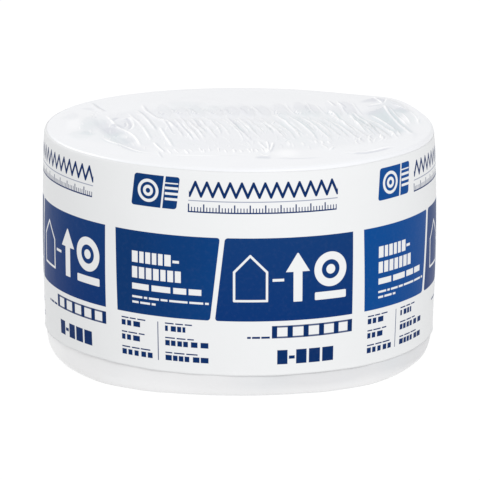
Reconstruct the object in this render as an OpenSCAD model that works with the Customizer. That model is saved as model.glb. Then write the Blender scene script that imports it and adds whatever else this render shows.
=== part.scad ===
// Roll of glass-fibre blanket insulation, standing on its end: a coreless wound
// blanket, a shrink film drawn over each end, and a printed film sleeve wound
// round the side, over the skirts of both end films.
// Millimetres, +Z up, origin at the centre of the face that the roll stands on.

/* [Blanket] */
// Width of the blanket, which is the height of the standing roll
blanket_w = 381; // [300:1:620]
// Diameter of the wound blanket at its widest
roll_d = 660; // [480:1:760]
// Number of turns in the spiral
turns = 11; // [7:1:15]
// Radius of the folded start of the blanket at the middle of the spiral
heart_r = 15; // [10:1:24]
// How far the side bows out between its ends
side_bow = 4; // [1:0.5:10]
// How deep the joints between the turns sink into the ends
joint_depth = 5; // [2:0.5:8]

/* [Corners] */
// Radius of the upper edge
shoulder_r = 5; // [4:0.5:16]
// How far the squashed lower edge draws in
foot_in = 14; // [6:1:24]
// How high the squashed lower edge reaches up the side
foot_h = 42; // [20:1:60]
// How far the upper end swells at its middle
crown = 5; // [1:0.5:10]

/* [End films] */
// Thickness of an end film, all plies together
film_t = 0.5; // [0.4:0.1:1]
// How far each end film is tucked up or down under the sleeve
film_tuck = 60; // [20:1:120]

/* [Sleeve] */
// Thickness of the printed sleeve, all plies together
sleeve_t = 0.5; // [0.4:0.1:1]
// Height of the sleeve's lower edge above the floor
sleeve_low = 38.5; // [10:0.5:60]
// Distance of the sleeve's upper edge below the edge of the blanket's upper end
sleeve_drop = 4; // [3:0.5:30]

/* [Fits] */
// Air gap between one layer and the next
ply_gap = 0.2; // [0.1:0.05:0.3]

/* [Hidden] */

// Each layer is the blanket's outline grown by the layers beneath it.
film_in = ply_gap;
film_out = film_in + film_t;
sleeve_in = film_out + ply_gap;
sleeve_out = sleeve_in + sleeve_t;

// The lower film's underside is the floor, so the blanket starts above it.
blanket_z = film_out;
blanket_top = blanket_z + blanket_w;
sleeve_high = blanket_top - sleeve_drop;

turn_pitch = (roll_d / 2 - heart_r) / turns;
foot_steps = 8;
side_steps = 12;
shoulder_steps = 6;
crown_steps = 16;
joint_steps = 6;
far = 2 * (roll_d + blanket_w);

// Straight ends of the side, between the squashed foot and the shoulder
side_low = blanket_z + foot_h;
side_high = blanket_top - shoulder_r;
side_mid = (side_low + side_high) / 2;
side_end_r = roll_d / 2 - side_bow;
end_face_r = side_end_r - shoulder_r;

$fn = 180;

function side_r(z) =
    roll_d / 2 - side_bow * pow((z - side_mid) / (side_high - side_mid), 2);

function crown_at(r) = crown * (1 - pow(min(r / end_face_r, 1), 2));

function ellipse_arc(centre, rx, ry, from, to, steps) =
    [for (i = [0 : steps])
        let (a = from + (to - from) * i / steps)
        centre + [rx * cos(a), ry * sin(a)]];

// The squashed lower edge, the bowed side and the upper edge, grown outwards by g
function side_points(g) = concat(
    ellipse_arc([side_end_r - foot_in, side_low], foot_in + g, foot_h + g,
        -90, 0, foot_steps),
    [for (i = [1 : side_steps - 1])
        let (z = side_low + (side_high - side_low) * i / side_steps)
        [side_r(z) + g, z]],
    ellipse_arc([end_face_r, side_high], shoulder_r + g, shoulder_r + g,
        0, 90, shoulder_steps));

// A layer's half section: smooth ends, flat below and crowned above
function layer_points(g) = concat(
    [[0, blanket_z - g]],
    side_points(g),
    [for (i = [crown_steps - 1 : -1 : 0])
        let (r = end_face_r * i / crown_steps)
        [r, blanket_top + g + crown_at(r)]]);

// How deep the joint beside a turn has sunk the end at radius r
function joint_sink(r) =
    let (across = r < heart_r ? r / (2 * heart_r) + 0.5
            : (r - heart_r) / turn_pitch - floor((r - heart_r) / turn_pitch))
    joint_depth * pow(2 * across - 1, 2);

// Radii of the points across the ends: the heart, then the turns up to the outer one
function end_radii() = concat(
    [for (i = [0 : 2]) heart_r * i / 3],
    [for (t = [0 : turns - 1], i = [0 : joint_steps - 1])
        let (r = heart_r + turn_pitch * (t + i / joint_steps))
        if (r < end_face_r - foot_in) r]);

function reversed(list) = [for (i = [len(list) - 1 : -1 : 0]) list[i]];

// The wound blanket: a turned solid whose ends are ridged by its turns
module insulation_roll() {
    low_end = [for (r = end_radii()) [r, blanket_z + joint_sink(r)]];
    high_end = [for (r = end_radii()) [r, blanket_top + crown_at(r) - joint_sink(r)]];
    color("ivory")
        rotate_extrude()
            polygon(concat(low_end, side_points(0), reversed(high_end)));
}

// Half section of a layer between two growths of the outline, from z0 up to z1
module layer_section(inner, outer, z0, z1) {
    intersection() {
        difference() {
            polygon(layer_points(outer));
            polygon(layer_points(inner));
        }
        translate([0, z0])
            square([far, z1 - z0]);
    }
}

// Film drawn over the lower end and up under the sleeve
module bottom_end_film() {
    color("whitesmoke")
        rotate_extrude()
            layer_section(film_in, film_out, -far, sleeve_low + film_tuck);
}

// Film drawn over the upper end and down under the sleeve
module top_end_film() {
    color("whitesmoke")
        rotate_extrude()
            layer_section(film_in, film_out, sleeve_high - film_tuck, far);
}

// Printed film wound round the side
module printed_sleeve() {
    color("white")
        rotate_extrude()
            layer_section(sleeve_in, sleeve_out, sleeve_low, sleeve_high);
}

insulation_roll();
bottom_end_film();
top_end_film();
printed_sleeve();
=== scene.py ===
import math

import bpy
import numpy as np
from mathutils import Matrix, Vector


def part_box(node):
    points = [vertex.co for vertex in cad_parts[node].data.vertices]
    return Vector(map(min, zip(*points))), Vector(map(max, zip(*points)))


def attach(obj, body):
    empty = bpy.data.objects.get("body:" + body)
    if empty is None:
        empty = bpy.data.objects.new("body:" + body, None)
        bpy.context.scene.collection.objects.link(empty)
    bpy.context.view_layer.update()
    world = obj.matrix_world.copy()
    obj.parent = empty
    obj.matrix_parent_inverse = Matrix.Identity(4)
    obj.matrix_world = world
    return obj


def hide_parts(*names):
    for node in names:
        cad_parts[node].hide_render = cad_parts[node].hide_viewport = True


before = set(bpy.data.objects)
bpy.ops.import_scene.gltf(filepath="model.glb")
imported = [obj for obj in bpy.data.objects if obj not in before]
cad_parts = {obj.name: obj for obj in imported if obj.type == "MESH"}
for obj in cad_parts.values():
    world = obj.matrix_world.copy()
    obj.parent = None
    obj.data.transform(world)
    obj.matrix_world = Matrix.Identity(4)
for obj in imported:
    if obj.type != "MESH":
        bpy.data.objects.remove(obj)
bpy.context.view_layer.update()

MM = 0.001


# ---------------------------------------------------------------- the roll's outline

def node_points(name):
    """Corners of a CAD node, in metres."""
    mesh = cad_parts[name].data
    found = np.zeros(len(mesh.vertices) * 3)
    mesh.vertices.foreach_get("co", found)
    return found.reshape(-1, 3)


def half_section(name):
    """Radius and height of each corner of a turned CAD node, each pair once."""
    at = node_points(name)
    pairs = np.stack([np.hypot(at[:, 0], at[:, 1]), at[:, 2]], 1)
    return np.unique(np.round(pairs, 5), axis=0)


BLANKET_LOW, BLANKET_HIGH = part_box("insulation_roll")
SLEEVE_LOW, SLEEVE_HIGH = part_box("printed_sleeve")
TOP_FILM_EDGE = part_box("top_end_film")[0].z
BOTTOM_FILM_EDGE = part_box("bottom_end_film")[1].z
ROLL_R = BLANKET_HIGH.x
MID_HEIGHT = (BLANKET_LOW.z + BLANKET_HIGH.z) / 2
SIDE_SHARE = 0.94  # what lies further out than this is the side and its two corners


def side_of_blanket():
    """The blanket's outline from the foot, up the side, to the end of the shoulder."""
    section = half_section("insulation_roll")
    side = section[section[:, 0] > SIDE_SHARE * ROLL_R]
    turn = np.arctan2(side[:, 1] - MID_HEIGHT, side[:, 0])
    return side[np.argsort(turn)]


def evened(points, step, passes):
    """A line with points a step apart, its corners eased."""
    run = np.concatenate([[0], np.cumsum(np.hypot(*np.diff(points, axis=0).T))])
    at = np.linspace(0, run[-1], int(run[-1] / step) + 1)
    line = np.stack([np.interp(at, run, points[:, i]) for i in (0, 1)], 1)
    for _ in range(passes):
        line[1:-1] = (line[:-2] + 2 * line[1:-1] + line[2:]) / 4
    return line


SIDE = evened(side_of_blanket(), 1 * MM, 12)
_steps = np.gradient(SIDE, axis=0)
SIDE_OUT = np.stack([_steps[:, 1], -_steps[:, 0]], 1)
SIDE_OUT /= np.hypot(SIDE_OUT[:, 0], SIDE_OUT[:, 1])[:, None]
SIDE_RUN = np.concatenate([[0], np.cumsum(np.hypot(*np.diff(SIDE, axis=0).T))])
# A place on the side is told by its run, which equals its height at mid height.
SIDE_RUN += MID_HEIGHT - np.interp(MID_HEIGHT, SIDE[:, 1], SIDE_RUN)
FOOT_RUN, SHOULDER_RUN = SIDE_RUN[0], SIDE_RUN[-1]
END_FACE_R = SIDE[-1, 0]
FOOT_R = SIDE[0, 0]
FOOT_SLUMP = 14 * MM       # how far the foot bulges at both sides of the front
FOOT_SLUMP_HIGH = 40 * MM  # and how high up the side it does
BACK_SUNK = 4.5            # mm that the upper end has sunk at the back
KNOT_PROUD = 7.0           # mm that it stands proud where the film is drawn together


def on_side(run, out):
    """Radius and height of the places at a run up the side, held off it by out."""
    r, z, nr, nz = (
        np.interp(run, SIDE_RUN, part)
        for part in (SIDE[:, 0], SIDE[:, 1], SIDE_OUT[:, 0], SIDE_OUT[:, 1])
    )
    return r + nr * out, z + nz * out


def crown(r):
    """How far the upper end swells above its edge at a radius."""
    rise = BLANKET_HIGH.z - SIDE[-1, 1]
    return rise * (1 - np.clip(r / END_FACE_R, 0, 1) ** 2)


def settled(at):
    """How far the upper end has sunk at some places: most at the back, while it stands
    proud at the back on the right, where the film is drawn together."""
    x, y = at[:, 0] / ROLL_R, at[:, 1] / ROLL_R
    back = smooth((y - 0.15) / 0.75) * np.clip(1 - (x / 0.85) ** 2, 0, 1)
    proud = np.exp(-((x - 0.82) / 0.22) ** 2 - ((y - 0.52) / 0.26) ** 2)
    rising = smooth((at[:, 2] - MID_HEIGHT) / (BLANKET_HIGH.z - MID_HEIGHT))
    return (BACK_SUNK * back - KNOT_PROUD * proud) * MM * rising


def slumped(at):
    """Places near the foot, moved out to where the soft roll has slumped at the floor."""
    angle = np.arctan2(at[:, 0], -at[:, 1])
    where = np.exp(-((np.abs(angle) - 0.70) / 0.35) ** 2)
    low = smooth((FOOT_SLUMP_HIGH - at[:, 2]) / FOOT_SLUMP_HIGH)
    r = np.hypot(at[:, 0], at[:, 1])
    out = 1 + FOOT_SLUMP * where * low * smooth(r / FOOT_R * 4 - 3) / np.maximum(r, 1 * MM)
    return np.stack([at[:, 0] * out, at[:, 1] * out, at[:, 2]], 1)


# ---------------------------------------------------------------- working on a piece

def deselect():
    bpy.ops.object.select_all(action="DESELECT")


def take_up(name):
    """Names the primitive that has just been added and opens it in edit mode."""
    piece = bpy.context.object
    piece.name = piece.data.name = name
    bpy.ops.object.mode_set(mode="EDIT")
    bpy.ops.mesh.select_all(action="SELECT")
    return piece


def put_down(piece):
    """Closes a piece's edit mode and has it lit smoothly."""
    bpy.ops.object.mode_set(mode="OBJECT")
    bpy.ops.object.shade_smooth()
    return piece


def corners_of(piece):
    found = np.zeros(len(piece.data.vertices) * 3)
    piece.data.vertices.foreach_get("co", found)
    return found.reshape(-1, 3)


def move_corners(piece, places):
    """Puts every corner of a piece at its new place."""
    piece.data.vertices.foreach_set("co", np.asarray(places, np.float32).ravel())
    piece.data.update()


def point_values(piece, name, values):
    """Stores one number for each corner, for the piece's finish to read."""
    layer = piece.data.attributes.new(name, "FLOAT", "POINT")
    layer.data.foreach_set("value", np.asarray(values, np.float32))


def round_axis(r, angle, z):
    """Places from radius, angle round the roll (0 faces -Y, + to the right) and height."""
    return np.stack(np.broadcast_arrays(r * np.sin(angle), -r * np.cos(angle), z), -1)


def waves(angle, height, seed, count, turns, rises):
    """Soft unevenness that closes on itself round the roll, from about -1 to 1."""
    draw = np.random.default_rng(seed)
    total = np.zeros(np.broadcast(angle, height).shape)
    for _ in range(count):
        m = draw.integers(turns[0], turns[1] + 1)
        q = draw.uniform(rises[0], rises[1]) * draw.choice([-1, 1])
        total += np.sin(m * angle + q * height + draw.uniform(0, 2 * math.pi))
    return total / math.sqrt(count)


def smooth(x):
    x = np.clip(x, 0, 1)
    return x * x * (3 - 2 * x)


# ---------------------------------------------------------------- folds in the end films

class Relief:
    """Height and greyness of an end film over its plan. Places are shares of the roll's
    radius, heights are in millimetres. Grey is 0 where one ply lies taut and 1 where many
    gathered plies lie over each other; it also carries painted shade beside folds and in
    hollows, and below 0 a painted highlight on a crease, where film goes white."""

    def __init__(self, x, y):
        self.x, self.y = x, y
        self.height = np.zeros(x.shape)
        self.grey = np.zeros(x.shape)

    def near(self, path, reach):
        """Where the film is within reach of a path: the places, the distance from the
        path, the side of it (1 right, -1 left) and the share of the way along it."""
        path = np.array(path, float)
        low, high = path.min(0) - reach, path.max(0) + reach
        box = (self.x > low[0]) & (self.x < high[0]) & (self.y > low[1]) & (self.y < high[1])
        at = np.flatnonzero(box)
        x, y = self.x[at], self.y[at]
        far = np.full(len(at), 1e9)
        side, along = np.zeros(len(at)), np.zeros(len(at))
        lengths = np.hypot(*np.diff(path, axis=0).T)
        before = 0.0
        for (ax, ay), (bx, by), length in zip(path[:-1], path[1:], lengths):
            ux, uy = (bx - ax) / length, (by - ay) / length
            t = np.clip((x - ax) * ux + (y - ay) * uy, 0, length)
            dx, dy = x - ax - t * ux, y - ay - t * uy
            d = np.hypot(dx, dy)
            closer = d < far
            far = np.where(closer, d, far)
            side = np.where(closer, np.sign(uy * dx - ux * dy), side)
            along = np.where(closer, (before + t) / lengths.sum(), along)
            before += length
        return at, far, side, along

    def fold(self, path, half, rise, lean=0.0, ends=0.3, edge=1.3, grey=0.0, white=0.0):
        """A creased fold along a path. half is half its width, lean makes one side the
        steeper, ends is the share of the path over which it comes up and dies away,
        grey paints shade on the film beside its steeper side, and white paints a highlight
        on its crest."""
        path = rounded(path)
        at, far, side, along = self.near(path, 2.4 * half)
        wide = half * (1 + lean * side)
        whole = smooth(along / ends) * smooth((1 - along) / ends)
        self.height[at] += rise * whole * np.clip(1 - far / wide, 0, 1) ** edge
        # painted shade beside the fold's steeper side and a painted highlight on its crest
        shaded = side * (1 if lean > 0 else -1) < 0
        beside = np.clip(1 - abs(far - 0.8 * half) / (0.9 * half), 0, 1) * shaded
        crest_highlight = np.clip(1.6 - 2.6 * far / half, 0, 1)
        self.grey[at] += whole * (grey * beside - white * crest_highlight)

    def folds(self, *rows):
        """Several folds, each told by half, rise, lean, ends, grey, white and its path."""
        for half, rise, lean, ends, grey, white, *path in rows:
            self.fold(path, half, rise, lean, ends, grey=grey, white=white)

    def tint(self, path, half, grey, ends=0.3):
        """Paints shade along a path, greying the film without raising it."""
        at, far, side, along = self.near(rounded(path), half)
        whole = smooth(along / ends) * smooth((1 - along) / ends)
        self.grey[at] += grey * whole * smooth(1.5 - 1.5 * far / half)

    def swell(self, middle, size, rise, grey=0.0, turn=0.0, soft=0.8):
        """A soft rise or dent, as wide and deep as size says, turned by an angle. soft is
        the share of it that slopes. grey paints shade over it, and where below 0 a highlight."""
        c, s = math.cos(turn), math.sin(turn)
        dx, dy = self.x - middle[0], self.y - middle[1]
        u, v = (c * dx + s * dy) / size[0], (c * dy - s * dx) / size[1]
        shape = smooth((1 - np.hypot(u, v)) / soft)
        self.height += rise * shape
        self.grey += grey * shape


def rounded(path):
    """A path whose inner corners are cut, twice over."""
    path = np.array(path, float)
    for _ in range(2):
        if len(path) > 2:
            near = path[:-1] * 0.75 + path[1:] * 0.25
            far = path[:-1] * 0.25 + path[1:] * 0.75
            inner = np.stack([near, far], 1).reshape(-1, 2)[1:-1]
            path = np.concatenate([path[:1], inner, path[-1:]])
    return path


def curved(start, end, bend, count=5):
    """Points on a line from start to end that bows sideways by bend."""
    a, b = np.array(start, float), np.array(end, float)
    across = np.array([b[1] - a[1], a[0] - b[0]])
    return [a + (b - a) * t + across * bend * 4 * t * (1 - t)
            for t in np.linspace(0, 1, count)]


def gathered_film(x, y, seed, mirrored):
    """The pleats that a film takes where it is gathered over an end of the roll."""
    draw = np.random.default_rng(seed)
    film = Relief(-x if mirrored else x, y)
    jitter = lambda size: draw.uniform(-size, size)

    # The gathered window: a shallow sunk oval, wider than it is deep, greyed partly for its plies
    # and partly as painted shade
    oval = np.hypot(film.x / 0.88, (film.y + 0.07) / 0.57)
    window = smooth((1.05 - oval) / 0.22)
    film.grey += 0.20 * window
    film.height -= 1.2 * window

    # Long pleats, nearly side by side, that fan out a little towards the right
    p = -0.40
    while p < 0.67:
        fan = 0.19 + 0.12 * (p + 0.36)
        back = 0.15 + jitter(0.09)
        front = -0.34 + jitter(0.12) + 0.16 * max(0.0, p - 0.2)
        start = np.array((p - fan * back * 0.5, back))
        end = np.array((p + fan * (0.1 - front), front))
        bend = jitter(0.03) - 0.015
        film.fold(curved(start, end, bend), draw.uniform(0.007, 0.011),
                  draw.uniform(1.4, 2.8), lean=draw.uniform(0.2, 0.6), ends=0.16,
                  grey=draw.uniform(0.2, 0.8), white=draw.uniform(0.6, 1.5))
        # one or two slighter creases close beside each
        for shift in (0.0125, 0.0235)[:draw.integers(1, 3)]:
            shift = shift + jitter(0.002)
            cut = draw.uniform(0.02, 0.16)
            film.fold(curved(start + (shift + cut * fan, -cut),
                             end + (shift - cut * fan * 0.6, cut * 0.6), bend + jitter(0.015)),
                      draw.uniform(0.0045, 0.007), draw.uniform(0.8, 1.6), lean=-0.3, ends=0.2,
                      grey=draw.uniform(0.2, 0.8), white=draw.uniform(0.5, 1.3))
        # and a broad soft ply between this and the next
        film.fold(curved(start + (0.03, 0.05), end + (0.022, -0.03), bend), 0.020,
                  draw.uniform(0.6, 1.6), lean=-0.4, ends=0.3, grey=draw.uniform(0.0, 0.6))
        p += draw.uniform(0.026, 0.041)

    # Round-ended tongues of film along the back of the window
    for cx in np.arange(-0.40, 0.60, 0.088):
        cx = cx + jitter(0.018)
        top = 0.42 + 0.24 * max(0.0, cx) + jitter(0.06)
        # painted shade on the tongues, deeper on the right
        grey = draw.uniform(0.20, 0.40) if cx > 0 else draw.uniform(0.12, 0.28)
        film.swell((cx, (top + 0.15) / 2), (0.042, (top - 0.08) / 2), draw.uniform(1.2, 2.0),
                   grey=grey, turn=0.12, soft=0.35)
        film.fold([(cx + 0.020, top + jitter(0.06)), (cx + 0.050, 0.30), (cx + 0.080, 0.17)],
                  0.008, draw.uniform(0.6, 1.4), lean=0.4, ends=0.3, grey=draw.uniform(0.3, 0.9),
                  white=draw.uniform(0.2, 0.9))
        if draw.random() < 0.7:
            film.fold(curved((cx - 0.01, 0.29 + jitter(0.04)), (cx + 0.025, 0.20), 0.3),
                      0.007, 1.2, lean=-0.3, ends=0.3, grey=1.0, white=1.3)

    # Short tucks in a row along the front of the window
    tx = -0.36
    while tx < 0.16:
        ty = -0.612 + jitter(0.02)
        long = draw.uniform(0.04, 0.12)
        film.fold([(tx, ty + long / 2), (tx + 0.016 + jitter(0.012), ty - long / 2)],
                  draw.uniform(0.006, 0.010), draw.uniform(1.4, 2.6), lean=0.3, ends=0.35,
                  grey=0.9, white=2.0)
        tx += draw.uniform(0.018, 0.052)
    for tx, ty in ((0.24, -0.46), (0.31, -0.47), (0.375, -0.42), (0.405, -0.42), (0.44, -0.43)):
        film.fold([(tx, ty + 0.05), (tx + 0.015, ty - 0.04)], 0.009, 2.0, lean=0.3, ends=0.4,
                  grey=0.5, white=1.8)
    film.fold([(-0.36, -0.70), (-0.15, -0.725), (0.08, -0.715)], 0.010, 0.8, lean=-0.4, ends=0.2,
              grey=0.15, white=0.5)

    # The broad fold that swings round the left of the window, darkened by painted shade along its
    # hollow
    valley = [(-0.72, 0.16), (-0.69, -0.05), (-0.65, -0.21), (-0.60, -0.37), (-0.54, -0.53),
              (-0.47, -0.62), (-0.40, -0.63)]
    film.fold(valley, 0.055, -2.4, lean=0.2, ends=0.25, edge=1.2)
    film.tint(valley, 0.050, 0.50, ends=0.18)
    film.tint([(-0.67, -0.03), (-0.63, -0.16), (-0.585, -0.28)], 0.055, 0.60)
    film.tint([(-0.57, -0.30), (-0.53, -0.44)], 0.040, 0.4)
    film.fold([(-0.69, 0.24), (-0.65, 0.06), (-0.61, -0.10), (-0.54, -0.24), (-0.505, -0.40),
               (-0.49, -0.52)], 0.016, 3.2, lean=0.4, ends=0.18, grey=0.3, white=1.6)
    film.fold([(-0.69, -0.28), (-0.65, -0.40), (-0.58, -0.46), (-0.50, -0.62), (-0.42, -0.66)],
              0.014, 1.8, lean=-0.4, ends=0.25, grey=0.5, white=1.2)
    # the curl beside it
    film.fold([(-0.61, 0.10), (-0.57, 0.15), (-0.545, 0.06), (-0.535, -0.06), (-0.55, -0.14),
               (-0.585, -0.12)], 0.014, 2.6, lean=-0.4, ends=0.2, grey=1.2, white=1.3)
    film.fold([(-0.60, 0.02), (-0.575, 0.05), (-0.565, -0.03), (-0.58, -0.07)], 0.010, 1.8,
              lean=-0.4, ends=0.25, grey=1.2, white=1.2)
    # painted shade in the hollows of the curl
    film.tint([(-0.635, 0.00), (-0.60, -0.08)], 0.030, 1.5)
    film.tint([(-0.66, 0.06), (-0.62, 0.16)], 0.016, 1.4)
    film.swell((-0.57, 0.0), (0.08, 0.17), -1.0, grey=0.3)
    # long ridges between the curl and the pleats
    film.folds(
        (0.014, 2.6, 0.4, 0.2, 0.6, 1.2, (-0.575, 0.28), (-0.55, 0.14), (-0.51, 0.03),
         (-0.47, -0.20), (-0.44, -0.40)),
        (0.013, 2.8, 0.5, 0.2, 1.3, 1.3, (-0.54, 0.36), (-0.51, 0.25), (-0.47, 0.09),
         (-0.42, -0.18)),
        (0.014, 3.0, 0.5, 0.2, 1.1, 1.4, (-0.51, 0.51), (-0.49, 0.33), (-0.45, 0.19),
         (-0.42, 0.11), (-0.36, 0.03), (-0.32, -0.16)),
        (0.014, 2.8, 0.4, 0.2, 0.6, 1.4, (-0.41, -0.06), (-0.38, -0.25), (-0.33, -0.53)),
        (0.012, 2.4, 0.4, 0.2, 1.2, 1.8, (-0.43, -0.41), (-0.40, -0.54), (-0.37, -0.65)),
        (0.010, 1.0, 0.4, 0.3, 0.9, 0.3, (-0.41, -0.60), (-0.38, -0.77)))
    film.tint([(-0.40, 0.46), (-0.28, 0.50), (-0.16, 0.45)], 0.09, 0.22)

    # Folds that run out to the left edge, and the soft dents there
    film.fold([(-0.79, 0.56), (-0.76, 0.48), (-0.73, 0.38), (-0.69, 0.29)], 0.013, 2.4, lean=0.5,
              ends=0.2, grey=1.6, white=0.6)
    film.tint([(-0.80, 0.36), (-0.76, 0.40)], 0.05, 0.4)
    film.fold([(-0.91, 0.28), (-0.88, 0.38), (-0.82, 0.39)], 0.012, 1.0, lean=0.4, ends=0.3,
              grey=0.8, white=0.4)
    for cy in (0.32, 0.25, 0.19):
        film.fold(curved((-0.77, cy + 0.02), (-0.71, cy - 0.04), 0.2), 0.008, 1.4, lean=0.3,
                  ends=0.35, grey=0.9, white=1.0)
    # a painted highlight on the left of the end, then painted shade in the soft dents
    film.swell((-0.835, -0.01), (0.06, 0.20), 1.2, grey=-0.3)
    film.swell((-0.765, 0.00), (0.055, 0.24), 1.2, grey=0.30, soft=0.5)
    film.swell((-0.86, 0.20), (0.045, 0.13), 1.0, grey=0.25, soft=0.5)
    film.swell((-0.80, -0.24), (0.075, 0.13), 1.0, grey=0.22, soft=0.5)
    film.tint([(-0.81, -0.19), (-0.72, -0.24)], 0.05, 0.30)
    film.tint([(-0.91, 0.10), (-0.90, 0.24)], 0.03, 0.25)

    # The knot where the film is drawn together, near the back on the right
    heart = (0.745, 0.36)
    # the knot, greyed by painted shade, and painted shade in its hollows
    film.swell((0.79, 0.26), (0.175, 0.48), 5.0, grey=0.50)
    film.tint([(0.68, 0.30), (0.73, 0.17), (0.79, -0.04), (0.84, -0.22)], 0.078, 0.70, ends=0.15)
    film.tint([(0.66, 0.44), (0.70, 0.56), (0.73, 0.42)], 0.062, 0.80)
    film.tint([(0.80, 0.48), (0.88, 0.38), (0.90, 0.32)], 0.050, 0.60)
    for k in range(7):
        start = (0.70 + 0.03 * k, 0.66 - 0.035 * k)
        end = (0.735 + 0.027 * k, 0.50 - 0.045 * k)
        film.fold(curved(start, end, 0.15), 0.006, draw.uniform(0.8, 1.6), lean=0.3, ends=0.3,
                  grey=0.8, white=0.9)
    film.tint([(0.79, 0.27), (0.88, 0.22)], 0.06, 0.5)
    film.folds(
        (0.012, 2.6, -0.4, 0.2, 0.6, 1.5, (0.645, 0.37), (0.69, 0.37), heart),
        (0.013, 2.6, 0.4, 0.2, 0.5, 1.5, (0.695, 0.60), (0.72, 0.46), heart),
        (0.011, 2.2, 0.4, 0.2, 0.7, 1.4, heart, (0.775, 0.52), (0.81, 0.60), (0.85, 0.58)),
        (0.020, 4.2, 0.4, 0.16, 0.8, 1.5, heart, (0.76, 0.20), (0.80, 0.00), (0.85, -0.17),
         (0.875, -0.23)),
        (0.010, 2.2, 0.3, 0.25, 0.5, 1.2, (0.765, 0.34), (0.81, 0.10), (0.87, -0.08)),
        (0.012, 2.4, 0.4, 0.2, 0.8, 1.3, (0.77, 0.38), (0.84, 0.29), (0.905, 0.22),
         (0.915, 0.00)),
        (0.014, 2.8, 0.4, 0.2, 0.6, 1.8, (0.67, 0.20), (0.72, 0.05), (0.80, -0.17)),
        (0.010, 1.6, -0.3, 0.25, 0.5, 0.9, (0.66, 0.27), (0.70, 0.26), (0.745, 0.30)),
        (0.010, 2.0, 0.3, 0.25, 0.7, 1.0, (0.79, 0.44), (0.84, 0.45), (0.88, 0.38)),
        (0.010, 1.6, 0.3, 0.3, 0.2, 1.3, (0.83, 0.20), (0.86, 0.10), (0.87, -0.01)),
        (0.009, 1.8, 0.3, 0.3, 0.7, 1.2, (0.905, 0.31), (0.925, 0.16), (0.905, 0.04)))
    # a painted highlight on the knot
    film.swell((0.835, 0.05), (0.035, 0.12), 1.0, grey=-0.7)
    # the last folds between the pleats and the knot
    film.folds(
        (0.012, 2.6, 0.4, 0.2, 0.7, 1.2, (0.56, 0.22), (0.60, 0.02), (0.64, -0.21)),
        (0.013, 2.8, 0.4, 0.2, 0.9, 1.3, (0.575, 0.28), (0.63, 0.08), (0.69, -0.18)),
        (0.013, 2.6, 0.4, 0.2, 0.9, 1.3, (0.46, 0.32), (0.50, 0.14), (0.55, -0.07)),
        (0.012, 2.0, 0.4, 0.25, 1.2, 1.2, (0.455, 0.58), (0.475, 0.46), (0.495, 0.38)),
        (0.011, 1.8, 0.4, 0.25, 1.0, 1.0, (0.505, 0.50), (0.53, 0.42), (0.545, 0.33)))

    # Fine curled tucks and the turned lip of film along the front on the right
    for k in range(9):
        share = k / 8
        cx, cy = 0.59 + 0.21 * share, -0.41 + 0.22 * share + 0.03 * math.sin(2.3 * k)
        film.fold(curved((cx, cy + 0.07), (cx + 0.016, cy - 0.07), jitter(0.2)), 0.008,
                  draw.uniform(1.6, 2.6), lean=0.3, ends=0.35, grey=0.9, white=1.5)
    lip = [(0.50, -0.635), (0.58, -0.635), (0.64, -0.62), (0.71, -0.55), (0.78, -0.48)]
    film.fold(lip, 0.016, 2.4, lean=-0.5, ends=0.2, grey=0.4, white=0.8)
    # painted shadow under the lip and a grey line along the front
    film.tint([(0.55, -0.655), (0.64, -0.64), (0.71, -0.575), (0.77, -0.505)], 0.016, 1.3)
    film.tint([(0.16, -0.765), (0.23, -0.77), (0.30, -0.765), (0.42, -0.74)], 0.012, 0.8)
    # a paler patch of painted highlight in front of the tucks
    film.swell((0.235, -0.66), (0.085, 0.13), 0.8, grey=-0.35)
    film.tint([(0.89, -0.16), (0.885, -0.40)], 0.02, 0.45)

    # Loose tails of film that lie over the front of the window
    for path in ([(0.09, -0.40), (0.125, -0.54), (0.15, -0.66)],
                 [(0.135, -0.39), (0.145, -0.54), (0.14, -0.66)],
                 [(0.17, -0.42), (0.16, -0.55), (0.145, -0.66)]):
        film.fold(path, 0.010, 2.8, lean=0.3, ends=0.25, grey=0.8, white=1.6)
    film.tint([(0.07, -0.755), (0.17, -0.76)], 0.026, 0.9)
    film.fold([(0.10, -0.68), (0.125, -0.74), (0.155, -0.70)], 0.012, 1.6, ends=0.3, grey=0.5,
              white=1.0)
    for path in ([(0.405, -0.46), (0.445, -0.58)], [(0.475, -0.50), (0.445, -0.60)]):
        film.fold(path, 0.009, 2.2, lean=0.3, ends=0.3, grey=0.5, white=1.5)

    # Faint crinkles all over the window
    for _ in range(240):
        a = draw.uniform(0, 2 * math.pi)
        far = math.sqrt(draw.uniform(0.0, 1.0))
        cx, cy = 0.84 * far * math.cos(a), -0.07 + 0.53 * far * math.sin(a)
        tilt = -1.38 + draw.normal(0, 0.30)
        long = draw.uniform(0.04, 0.14)
        film.fold([(cx, cy), (cx + long * math.cos(tilt), cy + long * math.sin(tilt))],
                  draw.uniform(0.004, 0.008), draw.uniform(0.3, 1.0), lean=0.3, ends=0.4,
                  grey=draw.uniform(0.1, 0.5), white=draw.uniform(0.1, 0.8))
    return film


# ---------------------------------------------------------------- pieces

FILM_GROWTH = 0.45 * MM     # from the blanket to the outside of an end film
WALL = 0.3 * MM             # thickness of an end film where it is single
SLEEVE_GROWTH = 0.90 * MM   # from the blanket to the outside of the sleeve at its brim
SLEEVE_WALL = 0.25 * MM
SLEEVE_TILT = 0.0122        # the sleeve was wound on a little askew
PRINT_R = 329.7 * MM        # radius at which the print's widths are true
OVERLAP = math.radians(12)  # how far the sleeve's end laps over its start
TOUCH = 0.1 * MM            # least distance above the floor
DIP = 2.2 * MM, 5.6 * MM    # how far the inner wall of the lower and upper film lies back
WOOL_GAP = 2.9 * MM, 7.2 * MM  # room for those walls below and above the wool
PLAIN_RIM = 6 * MM          # film this near the edge of the end is smooth
PLEATS_RISE = 24 * MM       # and over this far inwards its pleats reach their height
GREY_RISE = 30 * MM         # height over which painted shade comes up the lower film's side, from its foot, which is left pale for the floor's bounced light


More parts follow.
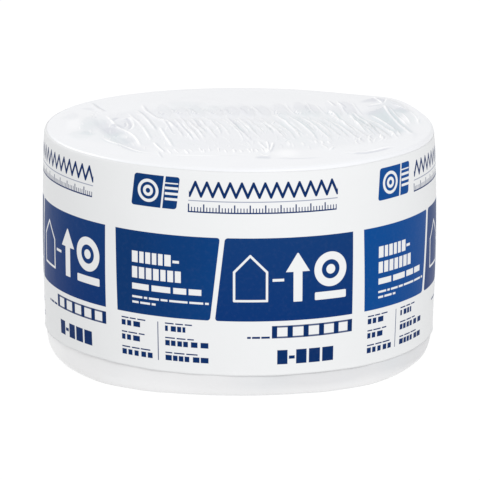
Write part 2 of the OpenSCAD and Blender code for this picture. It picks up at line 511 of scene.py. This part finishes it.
def build_sleeve():
    """The printed film: a flat strip wound once round the side, its end over its start."""
    flat = (2 * math.pi + OVERLAP) * PRINT_R, SLEEVE_HIGH.z - SLEEVE_LOW.z
    deselect()
    bpy.ops.mesh.primitive_grid_add(x_subdivisions=480, y_subdivisions=48, size=1)
    piece = take_up("sleeve_film")
    bpy.ops.transform.resize(value=(*flat, 1))
    put_down(piece)
    strip = corners_of(piece)
    angle = strip[:, 0] / PRINT_R + OVERLAP / 2
    share = strip[:, 1] / flat[1] + 0.5

    # the strip's own map, in metres: round the roll, and up it
    of_loop = np.zeros(len(piece.data.loops), np.int64)
    piece.data.loops.foreach_get("vertex_index", of_loop)
    low = SLEEVE_LOW.z + 0.6 * MM * waves(angle, 0, 11, 5, (2, 9), (0, 0))
    high = SLEEVE_HIGH.z + 0.5 * MM * waves(angle, 0, 12, 5, (2, 11), (0, 0))
    # the rows lie closer together towards both edges
    share = share - 0.6 * np.sin(2 * math.pi * share) / (2 * math.pi)
    height = low + (high - low) * share
    layer = piece.data.uv_layers[0]
    layer.name = "print_map"
    layer.data.foreach_set("uv", np.stack([angle * PRINT_R, height], 1)[of_loop].ravel())

    run = height - SLEEVE_TILT * ROLL_R * np.sin(angle)
    over = smooth((angle - math.pi + math.radians(5)) / math.radians(5)) * 0.9 * MM
    uneven = 0.42 * MM * waves(angle, height, 13, 9, (1, 7), (2, 14))
    fine = 0.08 * MM * waves(angle, height, 14, 12, (14, 40), (10, 60))
    # the lower edge stands off and ripples a little, and the upper edge lies close
    hem = np.exp(-((height - low) / (9 * MM)))
    flare = hem * (0.9 * MM + 0.35 * MM * waves(angle, 0, 15, 6, (9, 30), (0, 0)))
    body = smooth((high - height) / (20 * MM))
    out = SLEEVE_GROWTH + over + body * (0.75 * MM + uneven + fine) + flare
    r, z = on_side(run, out)
    at = round_axis(r, angle, z)
    at[:, 2] -= settled(at)
    move_corners(piece, at)
    thicken(piece, SLEEVE_WALL)
    return piece


def thicken(piece, depth):
    """Gives a film its thickness, inwards."""
    deselect()
    piece.select_set(True)
    bpy.context.view_layer.objects.active = piece
    wall = piece.modifiers.new("wall", "SOLIDIFY")
    wall.thickness = depth
    wall.offset = -1
    bpy.ops.object.modifier_apply(modifier=wall.name)
    deselect()


def build_end_film(name, top, seed, columns, rows):
    """A film drawn over one end: a square sheet worked into a round one, gathered over
    the end, smooth at the corner and tucked under the sleeve. Its inner wall lies flat
    below the pleats, so that it is one closed skin."""
    deselect()
    bpy.ops.mesh.primitive_grid_add(x_subdivisions=columns, y_subdivisions=rows, size=2)
    piece = take_up(name)
    put_down(piece)
    square = corners_of(piece)
    u, v = square[:, 0], square[:, 1]
    edge_r = END_FACE_R if top else FOOT_R
    disc = np.stack([u * np.sqrt(1 - v * v / 2), v * np.sqrt(1 - u * u / 2)], 1) * edge_r
    move_corners(piece, np.column_stack([disc, np.zeros(len(disc))]))

    # Rows of the film from the corner, along the side, and back along the inner wall
    if top:
        outer = np.concatenate([np.linspace(SHOULDER_RUN, SHOULDER_RUN - 12 * MM, 9)[1:],
                                np.linspace(SHOULDER_RUN - 12 * MM, TOP_FILM_EDGE, 5)[1:]])
        sleeve_edge = SLEEVE_HIGH.z + SLEEVE_TILT * ROLL_R
    else:
        outer = np.concatenate([np.linspace(FOOT_RUN, SLEEVE_LOW.z + 8 * MM, 15)[1:],
                                np.linspace(SLEEVE_LOW.z + 8 * MM, BOTTOM_FILM_EDGE, 5)[1:]])
        sleeve_edge = SLEEVE_LOW.z - SLEEVE_TILT * ROLL_R
    inner = outer[::-1][::1 if top else 2]
    floor_shares = (0.995, 0.985, 0.94, 0.7, 0.4)
    rings = len(outer) + len(inner) + len(floor_shares)
    bpy.ops.object.mode_set(mode="EDIT")
    bpy.ops.mesh.select_all(action="SELECT")
    bpy.ops.mesh.region_to_loop()
    for _ in range(rings):
        bpy.ops.mesh.extrude_region_move()
    bpy.ops.object.mode_set(mode="OBJECT")
    at = corners_of(piece)
    end_count = len(disc)
    rim = (len(at) - end_count) // rings
    if rim * rings != len(at) - end_count:
        raise ValueError("the rings of " + name + " are uneven")

    # The end itself
    r, angle = np.hypot(disc[:, 0], disc[:, 1]), np.arctan2(disc[:, 0], -disc[:, 1])
    film = gathered_film(disc[:, 0] / ROLL_R, disc[:, 1] / ROLL_R, seed, not top)
    taut = smooth((END_FACE_R - PLAIN_RIM - r) / PLEATS_RISE)
    uneven = waves(angle, r, seed + 1, 6, (2, 9), (8, 40))
    relief = film.height * MM * taut + 0.5 * MM * taut * uneven
    greys = np.zeros(len(at))
    greys[:end_count] = film.grey * taut
    if top:
        at[:end_count, 2] = SIDE[-1, 1] + FILM_GROWTH + crown(r) + relief
    else:
        pressed = (relief.max() - relief) * 0.3
        at[:end_count, 2] = TOUCH + np.minimum(pressed, 1.8 * MM)

    # The corner, the skirt and the inner wall
    k = end_count
    for run in outer:
        ring = at[k:k + rim]
        angle = np.arctan2(ring[:, 0], -ring[:, 1])
        bare = smooth((run - sleeve_edge) / (6 * MM) * (1 if top else -1))
        loose = 0.35 * MM * bare * waves(angle, run, seed + 2, 8, (5, 26), (5, 30))
        r, z = on_side(run, FILM_GROWTH + np.maximum(loose, -0.2 * MM))
        at[k:k + rim] = round_axis(r, angle, np.maximum(z, TOUCH))
        if top:
            greys[k:k + rim] = 0.1
        else:
            # painted shade on the lower film's side: patchy at random, and much greyer towards +X
            patches_and_side_shade = 0.25 * waves(angle, run, seed + 3, 5, (2, 9), (5, 20))
            patches_and_side_shade += 1 + 1.1 * np.sin(angle)
            greys[k:k + rim] = 0.75 * smooth((run - FOOT_RUN) / GREY_RISE) * patches_and_side_shade
        k += rim
    for run in inner:
        ring = at[k:k + rim]
        angle = np.arctan2(ring[:, 0], -ring[:, 1])
        r, z = on_side(run, FILM_GROWTH - WALL - 0.1 * MM)
        at[k:k + rim] = round_axis(r, angle, np.maximum(z, TOUCH + WALL))
        k += rim
    for share in floor_shares:
        ring = at[k:k + rim]
        angle = np.arctan2(ring[:, 0], -ring[:, 1])
        step = smooth((1 - share) / 0.06)
        r = edge_r * share
        if top:
            z = SIDE[-1, 1] + crown(r) - 0.1 * MM - DIP[1] * step
        else:
            z = TOUCH + WALL + DIP[0] * step
        at[k:k + rim] = round_axis(r, angle, z)
        k += rim
    if top:
        at[:, 2] -= settled(at)
    else:
        at = slumped(at)
    move_corners(piece, at)
    # the plies' grey, painted shade and painted highlights, for the finish to read
    point_values(piece, "gathered", np.clip(greys, -1.3, 1.5))

    # The last ring is drawn together at the middle, and all faces are turned outwards
    bpy.ops.object.mode_set(mode="EDIT")
    bpy.ops.mesh.merge(type="CENTER")
    bpy.ops.mesh.select_all(action="SELECT")
    bpy.ops.mesh.normals_make_consistent(inside=False)
    put_down(piece)
    skirt = abs(outer[-1] - outer[0])
    width = 2 * (edge_r + skirt)
    math.pi * width * width / 4
    return piece


def turned(name, outline, steps):
    """A solid turned round the roll's axis: its outline is drawn from the axis and back
    to it by extruding a point, and then spun."""
    deselect()
    bpy.ops.mesh.primitive_plane_add(size=1 * MM)
    piece = take_up(name)
    bpy.ops.mesh.merge(type="CENTER")
    bpy.ops.transform.translate(value=(outline[0][0], 0, outline[0][1]))
    for (r0, z0), (r1, z1) in zip(outline[:-1], outline[1:]):
        bpy.ops.mesh.extrude_region_move(TRANSFORM_OT_translate={"value": (r1 - r0, 0, z1 - z0)})
    bpy.ops.mesh.select_all(action="SELECT")
    bpy.ops.mesh.spin(steps=steps, angle=2 * math.pi, center=(0, 0, 0), axis=(0, 0, 1))
    bpy.ops.mesh.select_all(action="SELECT")
    bpy.ops.mesh.remove_doubles(threshold=0.01 * MM)
    bpy.ops.mesh.normals_make_consistent(inside=False)
    return put_down(piece)


def build_blanket():
    """The wound wool: its turns show on both ends as one spiral joint."""
    section = half_section("insulation_roll")
    low_end = section[(section[:, 1] < MID_HEIGHT) & (section[:, 0] < SIDE_SHARE * ROLL_R)]
    sunk = low_end[:, 1].max() - low_end[:, 1].min()
    joints = np.sort(low_end[low_end[:, 1] > low_end[:, 1].max() - 0.01 * MM][:, 0])
    heart, pitch = joints[0], joints[1] - joints[0]
    floor_z = BLANKET_LOW.z + 0.2 * MM

    ends = np.arange(0, 86) * (FOOT_R / 86)
    runs = np.linspace(FOOT_RUN, SHOULDER_RUN, 56)
    side_r, side_z = on_side(runs, -0.6 * MM)
    tops = ends[::-1] * (END_FACE_R / FOOT_R)
    outline = np.concatenate([
        np.stack([ends, np.full(86, floor_z)], 1),
        np.stack([side_r, np.maximum(side_z, floor_z)], 1),
        np.stack([tops, SIDE[-1, 1] + crown(tops) - 0.4 * MM], 1)])
    piece = turned("wound_blanket", outline.tolist(), 200)

    at = corners_of(piece)
    r, angle = np.hypot(at[:, 0], at[:, 1]), np.arctan2(at[:, 0], -at[:, 1])
    up = at[:, 2] > MID_HEIGHT
    inside = np.where(up, END_FACE_R - r, FOOT_R - r)
    end = inside > 0.5 * MM
    across = np.where(r < heart, r / (2 * heart) + 0.5,
                      np.mod((r - heart) / pitch - angle / (2 * math.pi), 1.0))
    ridged = sunk * np.abs(2 * across - 1) ** 2.5
    rough = 0.3 * MM * np.abs(waves(angle, r, 31, 10, (3, 60), (50, 400)))
    sink = (np.where(up, WOOL_GAP[1], WOOL_GAP[0]) * smooth(inside / (6 * MM))
            + smooth(inside / (14 * MM)) * (ridged + rough))
    at[:, 2] += np.where(end, np.where(up, -sink, sink), 0)
    nap = np.where(end, 0, 0.12 * MM * (1 + waves(angle, at[:, 2], 32, 10, (5, 40), (20, 200))))
    at[:, :2] *= (1 - np.maximum(nap, 0) / np.maximum(r, 1 * MM))[:, None]
    at[:, 2] -= settled(at)
    move_corners(piece, slumped(at))
    return piece


# ---------------------------------------------------------------- finishes

class Value:
    """A number that varies over a surface. Sums on it add the maths nodes."""

    def __init__(self, finish, socket):
        self.finish, self.socket = finish, socket

    def math(self, operation, *others):
        return self.finish.math(operation, self, *others)

    def __add__(self, other):
        return self.math("ADD", other)

    def __radd__(self, other):
        return self.math("ADD", other)

    def __sub__(self, other):
        return self.math("SUBTRACT", other)

    def __rsub__(self, other):
        return self.finish.math("SUBTRACT", other, self)

    def __mul__(self, other):
        return self.math("MULTIPLY", other)

    def __rmul__(self, other):
        return self.math("MULTIPLY", other)

    def __truediv__(self, other):
        return self.math("DIVIDE", other)

    def __rtruediv__(self, other):
        return self.finish.math("DIVIDE", other, self)

    def __neg__(self):
        return self.math("MULTIPLY", -1.0)

    def __abs__(self):
        return self.math("ABSOLUTE")

    def low(self, other):
        return self.math("MINIMUM", other)

    def high(self, other):
        return self.math("MAXIMUM", other)

    def clamped(self):
        return self.low(1.0).high(0.0)

    def root(self):
        return self.high(0.0).math("SQRT")

    def wrapped(self, bottom, top):
        return self.math("WRAP", top, bottom)


class Finish:
    """A material built from a Principled shader and formulas."""

    def __init__(self, name, **plain):
        self.material = bpy.data.materials.new(name)
        self.material.use_nodes = True
        self.tree = self.material.node_tree
        self.shader = self.tree.nodes["Principled BSDF"]
        for socket, value in plain.items():
            self.shader.inputs[socket.replace("_", " ")].default_value = value

    def node(self, kind, settings=None, inputs=None, output=0):
        """Adds a node, sets it, feeds its sockets, and returns one of its outputs."""
        made = self.tree.nodes.new(kind)
        for key, value in (settings or {}).items():
            setattr(made, key, value)
        for key, value in (inputs or {}).items():
            self.feed(made.inputs[key], value)
        return Value(self, made.outputs[output])

    def feed(self, socket, value):
        if isinstance(value, Value):
            self.tree.links.new(value.socket, socket)
        else:
            socket.default_value = value

    def math(self, operation, *values):
        return self.node("ShaderNodeMath", {"operation": operation}, dict(enumerate(values)))

    def length(self, a, b):
        return (a * a + b * b).root()

    def noise(self, where, scale, detail=3.0, roughness=0.5):
        return self.node("ShaderNodeTexNoise", {"noise_dimensions": "3D"},
                         {"Vector": where, "Scale": scale, "Detail": detail,
                          "Roughness": roughness}, "Fac")

    def mix(self, share, a, b):
        return self.node("ShaderNodeMix", {"data_type": "RGBA"},
                         {"Factor": share, 6: a, 7: b}, 2)

    def bump(self, height, distance, strength=1.0):
        return self.node("ShaderNodeBump", None,
                         {"Height": height, "Distance": distance, "Strength": strength}, "Normal")

    def parts(self, vector):
        split = self.node("ShaderNodeSeparateXYZ", None, {"Vector": vector})
        outs = split.socket.node.outputs
        return [Value(self, outs[k]) for k in range(3)]

    def wear(self, socket, value):
        self.feed(self.shader.inputs[socket], value)


def grown(colour):
    """A colour from its red, green and blue as shown, from 0 to 255."""
    return [(c / 255 / 12.92) if c <= 10 else ((c / 255 + 0.055) / 1.055) ** 2.4
            for c in colour] + [1.0]


class Print:
    """The sleeve's print, drawn on one repeat. s runs round the roll and v up it, both in
    millimetres. Each shape adds to the ink, from 0 to 1, and knock takes ink away."""

    EDGE = 0.5

    def __init__(self, finish, s, v):
        self.finish, self.s, self.v = finish, s, v
        self.ink = None

    def filled(self, inside):
        """1 inside a shape and 0 outside it, from the distance inside its edge."""
        return (inside / self.EDGE + 0.5).clamped()

    def cut_corner(self, a, b, corner):
        """Distance inside a shape with two pairs of sides and rounded corners."""
        return corner - self.finish.length((corner - a).high(0.0), (corner - b).high(0.0))

    def span(self, s0, s1):
        return (self.s - s0).low(s1 - self.s)

    def rise(self, v0, v1):
        return (self.v - v0).low(v1 - self.v)

    def bar(self, s0, s1, v0, v1, corner=1.0):
        return self.filled(self.cut_corner(self.span(s0, s1), self.rise(v0, v1), corner))

    def bars(self, v0, v1, *edges):
        """Plain bars side by side on one line, from each one's left and right edge."""
        inside = None
        for s0, s1 in zip(edges[::2], edges[1::2]):
            one = self.span(s0, s1)
            inside = one if inside is None else inside.high(one)
        return self.filled(inside.low(self.rise(v0, v1)))

    def ring(self, s0, v0, radius, width):
        far = self.finish.length(self.s - s0, self.v - v0)
        return self.filled(width / 2 - abs(far - radius))

    def stroke(self, a, b, width):
        """A straight line with round ends."""
        ux, uy = b[0] - a[0], b[1] - a[1]
        size = ux * ux + uy * uy
        ps, pv = self.s - a[0], self.v - a[1]
        t = ((ps * ux + pv * uy) / size).clamped()
        return self.filled(width / 2 - self.finish.length(ps - t * ux, pv - t * uy))

    def add(self, shape):
        self.ink = shape if self.ink is None else self.ink.high(shape)

    def knock(self, shape):
        self.ink = self.ink * (1.0 - shape)


def sleeve_finish():
    """Opaque white film with its print, in three blues."""
    f = Finish("sleeve_film", Roughness=0.42, IOR=1.5, Specular_IOR_Level=0.03)
    place = f.node("ShaderNodeUVMap", {"uv_map": "print_map"}, None, "UV")
    u, v, _ = f.parts(place)
    u, v = u * 1000.0, v * 1000.0
    s = u.wrapped(-225.0, 207.0)
    slant = 0.1183

    # the two panels, with a slanted gap between them
    panels = Print(f, s, v)
    panel_low, panel_high = 130.7, 269.3
    lean = (v - panel_low) * slant
    up_and_down = panels.rise(panel_low, panel_high)
    left_in = panels.cut_corner((lean - 47.2) - s, up_and_down, 5.0)
    panels.add(panels.filled(left_in.low(s + 212.0 + (v - panel_low) * 0.0216)))
    right_in = panels.cut_corner(s - (lean - 39.1), up_and_down, 5.0)
    dark = panels.filled(right_in.low(195.0 - s))
    panels.add(dark)

    # rows of bars knocked out of the left panel: two of thick ones and four of thinner ones
    for row in (
            (216.5, 235.5, -182, -171, -168, -160, -157, -148, -145, -137, -134, -126, -123,
             -112),
            (222.5, 227.0, -109, -98),
            (190.5, 209.5, -182, -172, -169, -159, -156, -146, -143, -133, -130, -121, -118,
             -108, -105, -95),
            (171.5, 181.5, -182, -151, -146, -113, -108, -86, -82, -61),
            (157.0, 160.5, -182, -163, -160, -154, -151, -133, -130, -118, -115, -84, -81, -58,
             -55, -49),
            (148.0, 151.5, -182, -170, -167, -149, -146, -139)):
        panels.knock(panels.bars(*row))

    # a house, a dash, an arrow and a roll knocked out of the right panel
    for a, b in (((-8, 165), (-8, 213)), ((-8, 213), (18, 240)), ((18, 240), (45, 213)),
                 ((45, 213), (45, 165)), ((45, 165), (-8, 165))):
        panels.knock(panels.stroke(a, b, 3.8))
    panels.knock(panels.bar(54, 73, 197, 201.5, 0.3))
    panels.knock(panels.bar(88.5, 103.5, 162, 222))
    head = (243.0 - v).low(v - 212.0).low((243.0 - v) * 0.62 - abs(s - 96.0) + 1.0)
    panels.knock(panels.filled(head))
    panels.knock(panels.ring(153.0, 212.0, 22.5, 13.0))
    panels.knock(panels.ring(153.0, 212.0, 4.0, 8.0))
    panels.knock(panels.bar(125.0, 181.5, 162.0, 175.0, 2.0))

    # ink on the white: first two slanted tiles, one with rings and one with level lines
    marks = Print(f, s, v)
    tile_low, tile_high = 312.0, 365.0
    lean_in = s - (v - tile_low) * 0.11
    tiles = marks.cut_corner((lean_in + 183.5).low(-102.5 - lean_in),
                             marks.rise(tile_low, tile_high), 5.0)
    tiles = tiles.low(abs(lean_in + 128.5) - 1.6)
    emblem = marks.filled(tiles)
    marks.add(emblem)
    marks.knock(marks.ring(-152.5, 338.5, 16.5, 5.0))
    marks.knock(marks.ring(-152.5, 338.5, 6.6, 5.0))
    lines = (11.5 - abs(s + 111.0)).low(abs((v - 341.5).wrapped(-4.5, 4.5)) - 2.4)
    marks.knock(marks.filled(lines.low(marks.rise(323.0, 355.0))))

    # the zigzag that stands for insulation on drawings
    period, swing, middle = 245.7 / 13, 10.8, 347.8
    steep = 4 * swing / period
    across = abs((s + 80.4).wrapped(-period / 2, period / 2))
    off = abs(v - (middle - swing) - across * steep) / math.hypot(1, steep)
    zigzag = (2.3 - off).low(marks.span(-81.6, 166.5)).low(marks.rise(middle - 13.5, middle + 13.5))
    marks.add(marks.filled(zigzag))
    # a plain scale under it, with a longer tick at every fifth
    ticked = marks.span(-83.4, 163.8)
    for apart, half, high in ((25.0, 1.1, 323.5), (5.0, 0.8, 318.5)):
        off = abs((s + 82.0).wrapped(-apart / 2, apart / 2))
        marks.add(marks.filled((half - off).low(marks.rise(310.5, high)).low(ticked)))
    marks.add(marks.bar(-83.4, 163.8, 309.3, 311.6, 0.3))

    # two columns of a table, in bars
    for row in (
            (107.4, 116.6, -204, -196, -193, -185, -181, -168),
            (83.0, 92.2, -204, -197, -194, -186, -182, -169),
            (57.8, 67.0, -204, -195, -192, -184, -180, -172, -167, -158, -155, -146),
            (107.4, 116.6, -123, -118, -113, -104, -102, -95, -93, -88),
            (83.0, 92.2, -123, -115, -113, -105, -102, -94, -92, -84, -79, -68, -63, -50),
            (57.8, 67.0, -123, -112, -110, -102, -100, -92, -90, -82, -76, -65, -63, -50),
            (119.6, 121.8, -204, -190, -188, -176, -173, -158),
            (95.2, 97.4, -204, -193, -191, -174, -171, -160),
            (70.0, 72.2, -204, -188, -185, -170, -168, -150),
            (119.6, 121.8, -123, -108, -105, -92, -89, -77),
            (95.2, 97.4, -123, -106, -103, -88, -85, -74),
            (70.0, 72.2, -123, -111, -108, -90, -87, -68),
            (101.6, 105.0, 13, 19, 21, 34, 36, 50)):
        marks.add(marks.bars(*row))
    marks.add(marks.bar(-136.4, -134.8, 56.3, 121.6, 0.2))

    # a stud wall seen from above, and a row of plain bars below it
    marks.add(marks.bars(101.5, 122.6, 53.3, 62, 79, 88, 106, 115, 133, 142, 160, 169, 186, 195))
    marks.add(marks.bar(53.3, 195.0, 119.6, 122.6, 0.2))
    marks.add(marks.bar(53.3, 195.0, 101.5, 104.5, 0.2))
    marks.add(marks.bars(57.3, 81.4, 62.3, 79.5, 94, 112, 116, 135.5, 139.5, 159.8))
    marks.add(marks.bar(81.8, 91.7, 66.0, 71.5, 0.3))
    rule = marks.bar(-82.4, 165.8, 328.0, 329.6, 0.2)

    # the light blue is paler towards +X, the ink's cover varies a little, and the film under it is
    # faintly clouded
    around = f.node("ShaderNodeTexCoord", None, None, "Object")
    east = f.parts(around)[0] / ROLL_R
    cloud = f.noise(around, 9.0, 4.0, 0.55)
    speck = f.noise(around, 160.0, 2.0, 0.6)
    white = f.mix(cloud, [0.708, 0.716, 0.722, 1], [0.730, 0.737, 0.744, 1])
    fade = (v - panel_low) / (panel_high - panel_low)
    dark_blue = f.mix(fade.clamped(), grown((8, 48, 106)), grown((16, 54, 108)))
    paler = (east * 0.9 + 0.45 + (cloud - 0.5) * 0.3).clamped()
    light_blue = f.mix(paler, grown((10, 50, 102)), grown((8, 68, 134)))
    panel_blue = f.mix(dark, light_blue, dark_blue)
    ink = panels.ink.high(marks.ink)
    blue = f.mix(marks.ink * (1.0 - emblem), panel_blue, grown((8, 42, 92)))
    coloured = f.mix(ink * (0.985 + speck * 0.03).low(1.0), white, blue)
    coloured = f.mix(rule * 0.75, coloured, grown((92, 104, 140)))
    f.wear("Base Color", coloured)
    f.wear("Roughness", 0.44 - ink * 0.08 + (cloud - 0.5) * 0.12)
    soft = f.noise(around, 26.0, 3.0, 0.5)
    f.wear("Normal", f.bump(soft + speck * 0.02, 0.0012, 0.35))
    return f.material


def end_film_finish(name, taut, warm_plies_and_shade, cool_plies_and_shade):
    """Milky shrink film: white where it is taut, greyer where plies gather and where shade is
    painted, and paler where highlights are painted on creases.
    """
    f = Finish(name, Roughness=0.3, IOR=1.5, Specular_IOR_Level=0.25)
    around = f.node("ShaderNodeTexCoord", None, None, "Object")
    gathered = f.node("ShaderNodeAttribute", {"attribute_name": "gathered",
                                              "attribute_type": "GEOMETRY"}, None, "Fac")
    cloud = f.noise(around, 14.0, 4.0, 0.55)
    fine = f.noise(around, 120.0, 3.0, 0.6)
    share = (gathered + (cloud - 0.5) * 0.25).clamped()
    hue = f.noise(around, 6.5, 2.0, 0.5)
    tinted = f.mix(((hue - 0.45) * 6.0).clamped(), warm_plies_and_shade, cool_plies_and_shade)
    colour = f.mix(share, taut, tinted)
    # painted highlights on creases, where the attribute is below 0
    pale = (-gathered).clamped()
    colour = f.mix(pale, colour, [0.95, 0.95, 0.955, 1])
    f.wear("Base Color", colour)
    f.wear("Roughness", 0.26 + cloud * 0.14)
    f.wear("Normal", f.bump(cloud * 0.6 + fine * 0.12, 0.0015, 0.5))
    return f.material


def wool_finish():
    """Matt white glass wool, with a fibrous nap."""
    f = Finish("glass_wool", Roughness=0.95, IOR=1.45)
    around = f.node("ShaderNodeTexCoord", None, None, "Object")
    tuft = f.noise(around, 60.0, 5.0, 0.7)
    fibre = f.noise(around, 420.0, 4.0, 0.7)
    colour = f.mix(tuft, [0.80, 0.785, 0.74, 1], [0.93, 0.925, 0.90, 1])
    f.wear("Base Color", f.mix(fibre * 0.4, colour, [0.70, 0.68, 0.62, 1]))
    f.wear("Normal", f.bump(tuft + fibre * 0.4, 0.003, 0.8))
    return f.material


# ---------------------------------------------------------------- stage, light, camera

def build_stage():
    """A plain white floor that gives off light, soft light from all round, a broad lamp in
    front and another behind."""
    bpy.ops.mesh.primitive_plane_add(size=40, location=(0, 0, -0.0002))
    floor = bpy.context.object
    floor.name = "floor"
    pale = Finish("pale_floor", Roughness=0.9, Base_Color=(0.10, 0.10, 0.10, 1),
                  Specular_IOR_Level=0.0, Emission_Color=(1, 1, 1, 1), Emission_Strength=0.93)
    floor.data.materials.append(pale.material)
    floor.select_set(False)

    world = bpy.data.worlds.new("studio")
    world.use_nodes = True
    sky = world.node_tree.nodes["Background"]
    sky.inputs["Color"].default_value = (1, 1, 1, 1)
    sky.inputs["Strength"].default_value = 0.82
    bpy.context.scene.world = world
    bpy.context.scene.view_settings.view_transform = "Standard"

    aim = Vector((0, 0, 0.2))
    for name, spot, size, power in (("key", (1.1, -4.4, 3.4), 2.6, 113),
                                    ("back", (-2.4, 3.0, 3.2), 1.6, 56)):
        lamp = bpy.data.lights.new(name, "AREA")
        lamp.shape, lamp.size, lamp.energy = "DISK", size, power
        holder = bpy.data.objects.new(name, lamp)
        bpy.context.scene.collection.objects.link(holder)
        holder.location = spot
        holder.rotation_euler = (aim - Vector(spot)).to_track_quat("-Z", "Y").to_euler()


def build_camera():
    """A long lens, a little above the roll, square to the print."""
    away, pitch = 7.112, math.radians(14.11)
    aim = Vector((0.0015, 0, 0.1836))
    lens = bpy.data.cameras.new("camera")
    lens.lens, lens.sensor_width = 315.7, 36
    lens.clip_end = 100
    camera = bpy.data.objects.new("camera", lens)
    bpy.context.scene.collection.objects.link(camera)
    camera.location = aim + Vector((0, -away * math.cos(pitch), away * math.sin(pitch)))
    camera.rotation_euler = (math.pi / 2 - pitch, 0, 0)
    bpy.context.scene.camera = camera


# ---------------------------------------------------------------- putting it together

build_camera()
build_stage()

# the upper film is the same film as the lower one; its bluer colours are a painted tint of the
# light from above
top_finish = end_film_finish("top_end_film", [0.785, 0.792, 0.812, 1],
                             [0.625, 0.637, 0.680, 1], [0.600, 0.650, 0.675, 1])
bottom_finish = end_film_finish("bottom_end_film", [0.780, 0.780, 0.785, 1],
                                [0.640, 0.640, 0.650, 1], [0.625, 0.635, 0.650, 1])
for piece, finish, slot, node in (
        (build_blanket(), wool_finish(), "glass_wool", "insulation_roll"),
        (build_end_film("gathered_top_film", True, 5, 480, 120), top_finish, "end_film",
         "top_end_film"),
        (build_end_film("gathered_bottom_film", False, 8, 300, 100), bottom_finish, "end_film",
         "bottom_end_film"),
        (build_sleeve(), sleeve_finish(), "sleeve_film", "printed_sleeve")):
    piece.data.materials.append(finish)
    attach(piece, "root")
    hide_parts(node)
